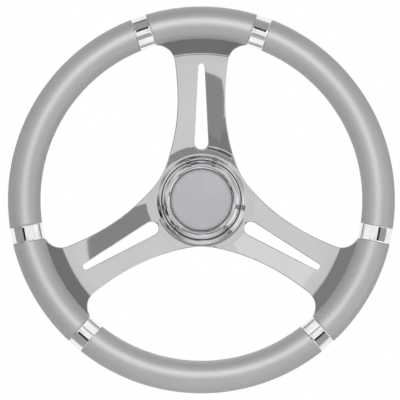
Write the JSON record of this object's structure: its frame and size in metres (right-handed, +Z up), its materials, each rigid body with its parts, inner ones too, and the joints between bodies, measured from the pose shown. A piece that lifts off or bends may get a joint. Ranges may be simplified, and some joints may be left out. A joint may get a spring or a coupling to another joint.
{
  "type": "boat steering wheel",
  "caption": "Dished boat steering wheel with slotted polished spokes, a round moulded grip with bright sleeves, a taper-bored hub and a pull-off centre cap.",
  "frame": {"origin": "centre of the shaft bore in the back face of the hub", "axes": "+Y along the shaft axis out of the hub's back, the driver is on the -Y side, +Z up along the top spoke, +X to the driver's right"},
  "size_m": [0.35, 0.0828, 0.35],
  "materials": {
    "polished_stainless": "mirror polished stainless steel",
    "plain_stainless": "drawn stainless tube",
    "turned_stainless": "fine turned stainless steel",
    "screw_steel": "satin stainless steel",
    "black_rubber": "smooth black rubber",
    "black_plastic": "moulded black plastic",
    "bright_chrome": "bright chrome",
    "grey_plastic": "satin silver grey",
    "grey_grip": "satin silver grey moulded polyurethane"
  },
  "bodies": {
    "wheel": {"spoke_plate": "polished_stainless", "rim_tube": "plain_stainless", "hub_boss": "turned_stainless", "clamp_ring": "turned_stainless", "hub_screws": "screw_steel", "cap_o_ring": "black_rubber", "ferrule_top_left": "polished_stainless", "ferrule_top_right": "polished_stainless", "ferrule_right_upper": "polished_stainless", "ferrule_right_lower": "polished_stainless", "ferrule_left_lower": "polished_stainless", "ferrule_left_upper": "polished_stainless", "spoke_grip_top": "grey_grip", "spoke_grip_right": "grey_grip", "spoke_grip_left": "grey_grip", "long_grip_right": "grey_grip", "long_grip_bottom": "grey_grip", "long_grip_left": "grey_grip"},
    "cap": {"cap_body": "black_plastic", "cap_bezel": "bright_chrome", "cap_disc": "grey_plastic"}
  },
  "joints": [
    {"name": "cap_pull", "type": "slide", "parent": "wheel", "child": "cap", "axis": [0, -1, 0], "range_m": [0, 0.012]}
  ]
}
